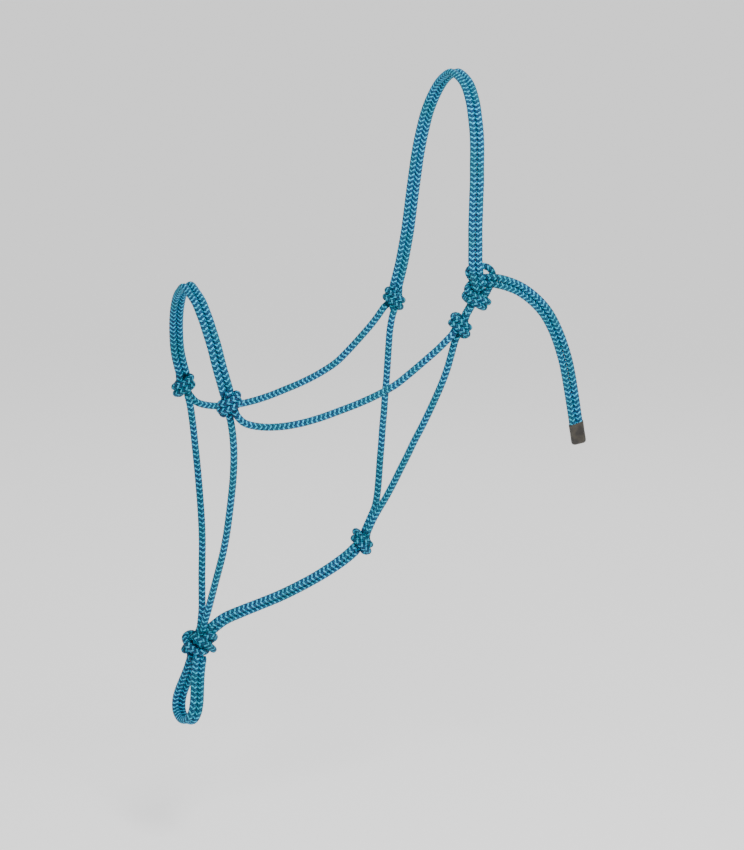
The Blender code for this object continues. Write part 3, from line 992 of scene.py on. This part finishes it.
# The jaw strands turn against the chin knot, so they run on inside it.
INSIDE = {"jaw_lower_strand": (0, KNOT_OVERLAP), "jaw_upper_strand": (KNOT_OVERLAP, 0)}
pieces = {}
for node in dict.fromkeys(name for name, *rest in STRETCHES):
    knot = node in KNOT_NODES
    beyond = INSIDE.get(node, (0, 0))
    tubes = [(*rings, *beyond) for name, which, *rings in STRETCHES if name == node]
    pieces[node] = cord_mesh(f"{node}_cord", tubes, SHADED_KNOT_LOOK if knot else CORD_LOOK)
    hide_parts(node)

# ---------------------------------------------------------------- the sleeve on the tail
SLEEVE_LENGTH = 21.0
SLEEVE_WALL = 0.5
SLEEVE_SLACK = 0.3  # between the cord and the tubing
SLEEVE_ROUND = 2.8  # radius of the closed end's edge
SLEEVE_LEAN = 0.9  # how far out of square the upper end is cut
SLEEVE_SAG = 2.2  # half the width of the sag between the strands
SLEEVE_SIDES = 96
SLEEVE_STEPS = 12


def sleeve_look():
    """Dark brown shrink tubing: satin, a little scuffed and browner in patches."""
    n = Nodes("end_sleeve")
    place = n.place()
    patches = n.noise(place, 160.0, 3.0)
    specks = n.noise(place, 2600.0, 2.0)
    colour = n.mix(n.spread(patches, 0.35, 0.65, 0, 1), linear(34, 31, 28), linear(62, 57, 48))
    colour = n.mix(n.spread(specks, 0.6, 0.75, 0.0, 0.3), colour, linear(92, 84, 72))
    n.link(colour, n.shader.inputs["Base Color"])
    n.link(n.spread(patches, 0.3, 0.7, 0.36, 0.52), n.shader.inputs["Roughness"])
    n.bump(n.math("ADD", specks, n.math("MULTIPLY", patches, 2.0)), 0.25, 0.0002)
    n.shader.inputs["Specular IOR Level"].default_value = 0.45
    return n.material


def sleeve():
    """Shrink tubing over both strand ends: slack between them, cut at the top, closed below."""
    ends = [RUNS["tail_upper_strand"], RUNS["tail_lower_strand"]]
    middle = (ends[0][-1] + ends[1][-1]) / 2
    along = tangents(ends[0])[-1] + tangents(ends[1])[-1]
    along /= np.linalg.norm(along)
    wide = square_to(ends[1][-1] - ends[0][-1], along[None])[0]
    deep = np.cross(along, wide)
    half = np.linalg.norm(ends[1][-1] - ends[0][-1]) / 2
    outer = CORD_RADIUS + SLEEVE_SLACK + SLEEVE_WALL
    turn = 2 * math.pi * np.arange(SLEEVE_SIDES) / SLEEVE_SIDES

    def section(distance, radius, groove, lean):
        """A ring round both strands. The groove is how far the tubing sags between them."""
        shift = np.clip(3.0 * np.cos(turn), -1, 1) * half
        x = shift + radius * np.cos(turn)
        z = radius * np.sin(turn) * (1 - groove * np.exp(-((x / SLEEVE_SAG) ** 2)))
        where = distance + lean * x / (half + radius)
        ring = middle + wide * x[:, None] + deep * z[:, None]
        return ring + along * where[:, None]

    rings = []
    for distance in (4.0, 2.0, 0.6):  # the inside, up to the cut edge
        rings.append(section(distance, outer - SLEEVE_WALL, 0.02, SLEEVE_LEAN))
    for distance, radius in ((0.15, outer - 0.4), (0.0, outer - 0.2), (0.2, outer)):  # the edge
        rings.append(section(distance, radius, 0.04, SLEEVE_LEAN))
    for k in range(1, SLEEVE_STEPS + 1):  # down the outside, a little wavy
        share = k / SLEEVE_STEPS
        wave = 0.05 * math.sin(9.0 * share) + 0.03 * math.sin(23.0 * share)
        groove = 0.05 + 0.05 * math.sin(math.pi * share)
        distance = 0.4 + (SLEEVE_LENGTH - SLEEVE_ROUND - 0.4) * share
        rings.append(section(distance, outer + wave, groove, SLEEVE_LEAN * (1 - share)))
    for degrees in (15, 30, 45, 60, 75, 88):  # round the closed end's edge
        bend = math.radians(degrees)
        distance = SLEEVE_LENGTH - SLEEVE_ROUND * (1 - math.sin(bend))
        rings.append(section(distance, outer - SLEEVE_ROUND * (1 - math.cos(bend)), 0.05, 0.0))
    for radius in (1.3, 0.6):  # the closed end
        rings.append(section(SLEEVE_LENGTH - 0.15, radius, 0.0, 0.0))
    points = np.vstack(rings) * MM
    faces = []
    for level in range(len(rings) - 1):
        for k in range(SLEEVE_SIDES):
            beyond = (k + 1) % SLEEVE_SIDES
            low, high = level * SLEEVE_SIDES, (level + 1) * SLEEVE_SIDES
            faces.append((low + k, low + beyond, high + beyond, high + k))
    top = (len(rings) - 1) * SLEEVE_SIDES
    faces.append(tuple(range(SLEEVE_SIDES - 1, -1, -1)))
    faces.append(tuple(range(top, top + SLEEVE_SIDES)))
    mesh = bpy.data.meshes.new("tail_end_sleeve_tubing")
    mesh.from_pydata(points.tolist(), [], faces)
    mesh.validate()
    mesh.shade_smooth()
    mesh.materials.append(sleeve_look())
    thing = placed("tail_end_sleeve_tubing", mesh)
    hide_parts("tail_end_sleeve")
    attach(thing, "tail")
    return thing


tubing = sleeve()

# ---------------------------------------------------------------- the two free ends
for node, backwards in (("tail_lower_strand", True), ("tail_upper_strand", False)):
    first, last = next((a, b) for name, which, a, b in STRETCHES if name == node)
    path = np.vstack([LINE[first : last + 1 : 4], LINE[last]])
    if backwards:
        path = path[::-1]
    path = path * MM

# ---------------------------------------------------------------- what rides on a body; the runs between two bodies are left unattached
# For each pair of runs: the bodies at its two ends, and where its bend starts and ends.
BENDS = (
    (("crown_front_strand", "crown_rear_strand"),
     ("crown", "headstall", (-66, -12, -168), (-81, -12, -204))),
    (("tie_loop_front_leg", "tie_loop_rear_leg"),
     ("crown", "headstall", (75, -17.5, -205.5), (75, -24, -215))),
    (("noseband_front_strand", "noseband_rear_strand"),
     ("headstall", "noseband", (0, -253.3, -284.5), (0, -253.3, -250))),
    (("chin_drop_left", "chin_drop_right"),
     ("headstall", "chin", (0, -254, -295), (0, -254, -335))),
    (("throat_rope_left", "throat_rope_right"),
     ("headstall", "throat", (0, -29, -231), (0, -29, -271))),
    (("jaw_upper_strand", "jaw_lower_strand"),
     ("throat", "jaw", (0, -104, -442.5), (0, -158, -468.5))),
    (("lead_loop_front_strand", "lead_loop_rear_strand"),
     ("chin", "lead_loop", (0, -265, -533), (0, -268, -545))),
    (("tail_upper_strand", "tail_lower_strand"),
     ("crown", "tail", (79, -7, -183), (81.5, 13, -187.5))),
)
BEND_OF = {node: bend for nodes, bend in BENDS for node in nodes}
BODY_OF = {
    node: body for body, nodes in frame["record"]["behaviour"]["bodies"].items() for node in nodes
}
for node, piece in pieces.items():
    if node in BEND_OF:
        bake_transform(piece)
    else:
        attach(piece, BODY_OF[node])

# ---------------------------------------------------------------- floor and light
FLOOR_HEIGHT = -0.72
FLOOR_REACH = 900.0  # far enough that its edge can't be told from the world in the photo's view
FLOOR_GLOW = 0.55
WORLD_LIGHT = 0.65
WHITE = (1, 1, 1, 1)


def floor():
    """A wide pale floor that glows a little, so that it looks like a plain backdrop."""
    mesh = bpy.data.meshes.new("floor")
    corners = [(-1, -1), (1, -1), (1, 1), (-1, 1)]
    points = [(x * FLOOR_REACH, y * FLOOR_REACH, FLOOR_HEIGHT) for x, y in corners]
    mesh.from_pydata(points, [], [(0, 1, 2, 3)])
    look = Nodes("floor")
    look.shader.inputs["Base Color"].default_value = (0.9, 0.9, 0.9, 1)
    look.shader.inputs["Roughness"].default_value = 0.9
    look.shader.inputs["Emission Color"].default_value = WHITE
    look.shader.inputs["Emission Strength"].default_value = FLOOR_GLOW
    mesh.materials.append(look.material)
    placed("floor", mesh)


def lamp(name, place, towards, size, power):
    """A round area lamp, from its place towards a point, in metres and watts."""
    data = bpy.data.lights.new(name, "AREA")
    data.shape = "DISK"
    data.size = size
    data.energy = power
    thing = placed(name, data)
    thing.location = place
    thing.rotation_euler = (Vector(towards) - Vector(place)).to_track_quat("-Z", "Y").to_euler()


floor()
lamp("key", (0.8, -0.25, 0.62), (0.03, -0.1, -0.2), 0.45, 14)
lamp("fill", (1.6, 1.4, 0.3), (0, -0.12, -0.3), 1.6, 5)
lamp("rim", (-1.5, 0.8, 1.0), (0, -0.12, -0.3), 1.4, 7)
world = bpy.data.worlds.new("studio")
bpy.context.scene.world = world
world.use_nodes = True
world.node_tree.nodes["Background"].inputs[0].default_value = WHITE
world.node_tree.nodes["Background"].inputs[1].default_value = WORLD_LIGHT
